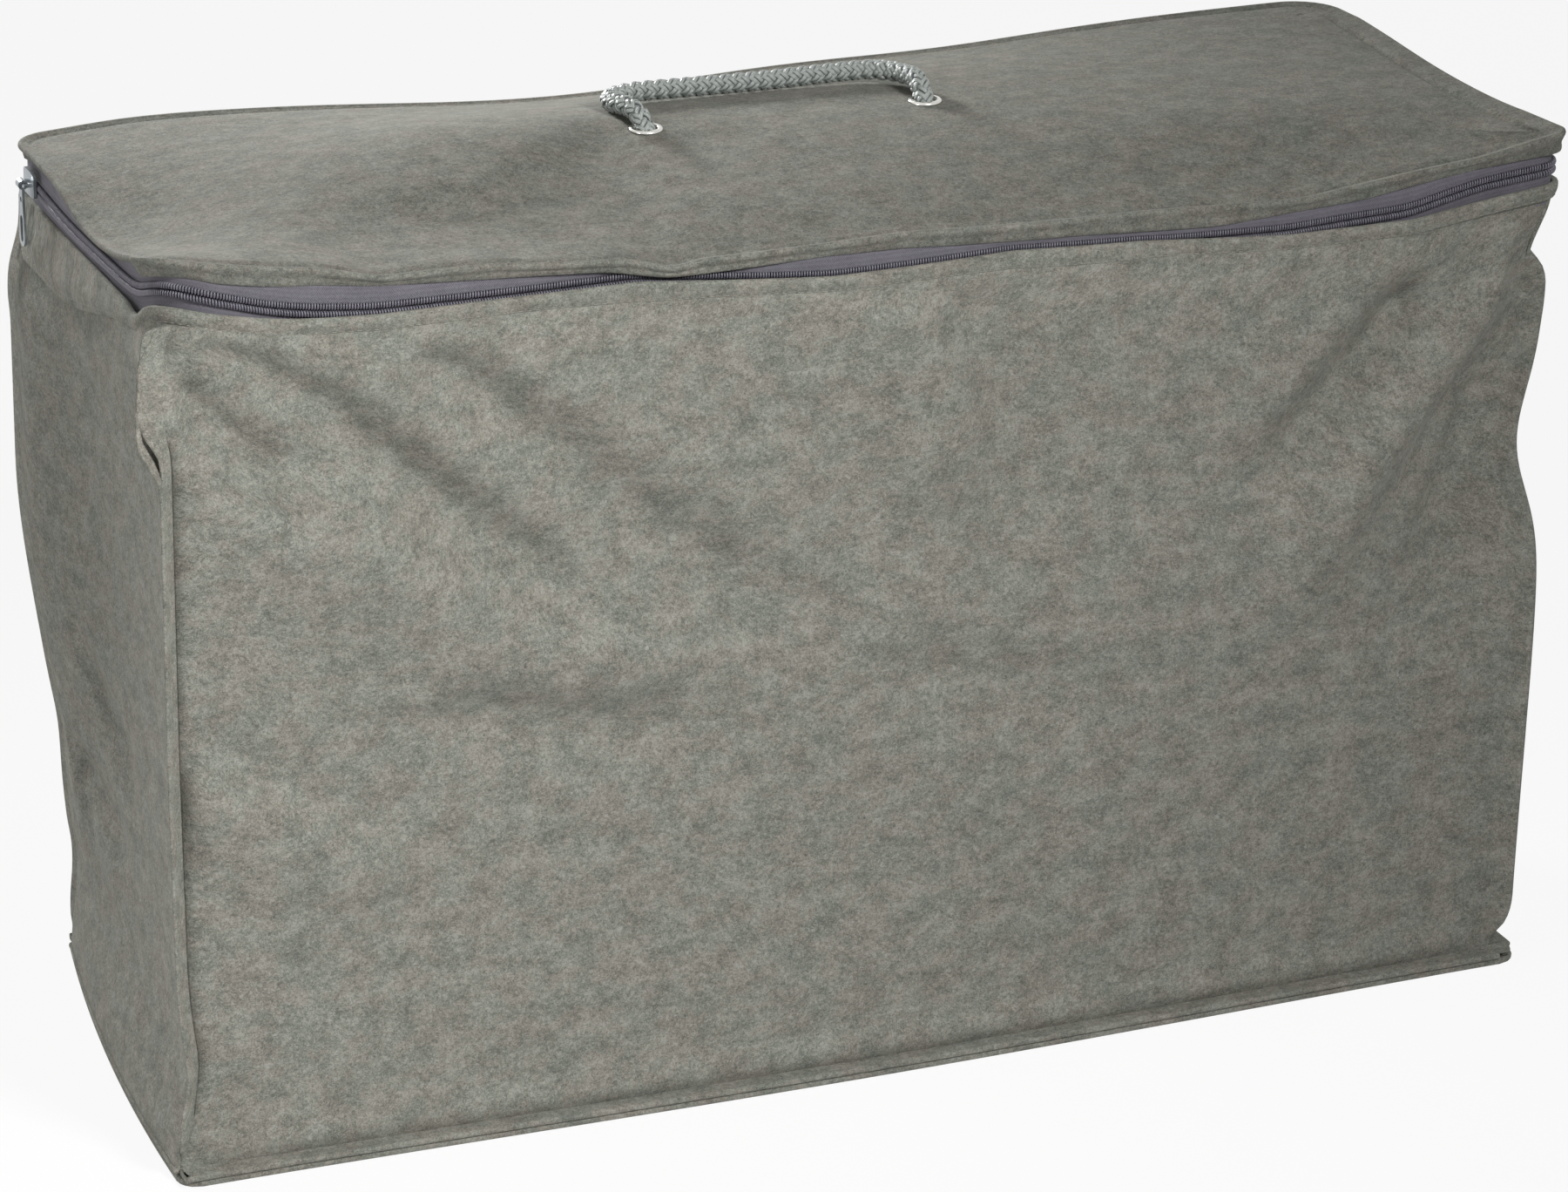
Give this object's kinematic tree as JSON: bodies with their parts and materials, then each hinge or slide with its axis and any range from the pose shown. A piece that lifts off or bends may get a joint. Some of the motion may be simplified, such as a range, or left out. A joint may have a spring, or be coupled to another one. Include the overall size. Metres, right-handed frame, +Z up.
{
  "type": "under bed box",
  "caption": "Soft felt storage bag with a zipped fold-back lid, seams turned outward at the corners and floor, and a braided cord carry handle held in eyelets.",
  "frame": {"origin": "on the floor under the middle of the bag", "axes": "+X to the right along the width, -Y out of the front, +Z up"},
  "size_m": [0.661, 0.27, 0.4248],
  "materials": {
    "felt": "grey heathered needle felt",
    "zip_tape": "woven dark grey tape",
    "zip_coil": "satin nylon coil",
    "zip_metal": "grey enamelled zinc",
    "eyelet_metal": "nickel plated brass",
    "cord": "silver grey braided cord"
  },
  "bodies": {
    "base": {"base_panel": "felt", "front_panel": "felt", "back_panel": "felt", "left_end_panel": "felt", "right_end_panel": "felt", "zip_tape_lower": "zip_tape", "zip_coil_lower": "zip_coil", "zip_top_stop_lower": "zip_metal", "zip_bottom_stop": "zip_metal"},
    "lid": {"lid_panel": "felt", "zip_tape_upper": "zip_tape", "zip_coil_upper": "zip_coil", "zip_top_stop_upper": "zip_metal", "eyelet_left": "eyelet_metal", "eyelet_right": "eyelet_metal", "eyelet_washer_left": "eyelet_metal", "eyelet_washer_right": "eyelet_metal", "handle_knot_left": "cord", "handle_knot_right": "cord"},
    "slider": {"zip_slider": "zip_metal"},
    "pull": {"zip_pull": "zip_metal"},
    "handle": {"handle_cord": "cord"}
  },
  "joints": [
    {"name": "lid_hinge", "type": "hinge", "parent": "base", "child": "lid", "pos_m": [0, 0.1219, 0.389], "axis": [-1, 0, 0], "range_deg": [0, 170]},
    {"name": "zip_slide", "type": "slide", "parent": "base", "child": "slider", "axis": [0, -1, 0], "range_m": [0, 0.17]},
    {"name": "pull_swing", "type": "hinge", "parent": "slider", "child": "pull", "pos_m": [-0.3284, 0.0915, 0.389], "axis": [0, 1, 0], "range_deg": [0, 150]},
    {"name": "handle_swing", "type": "hinge", "parent": "lid", "child": "handle", "pos_m": [0, 0, 0.42006], "axis": [1, 0, 0], "range_deg": [0, 180]}
  ]
}
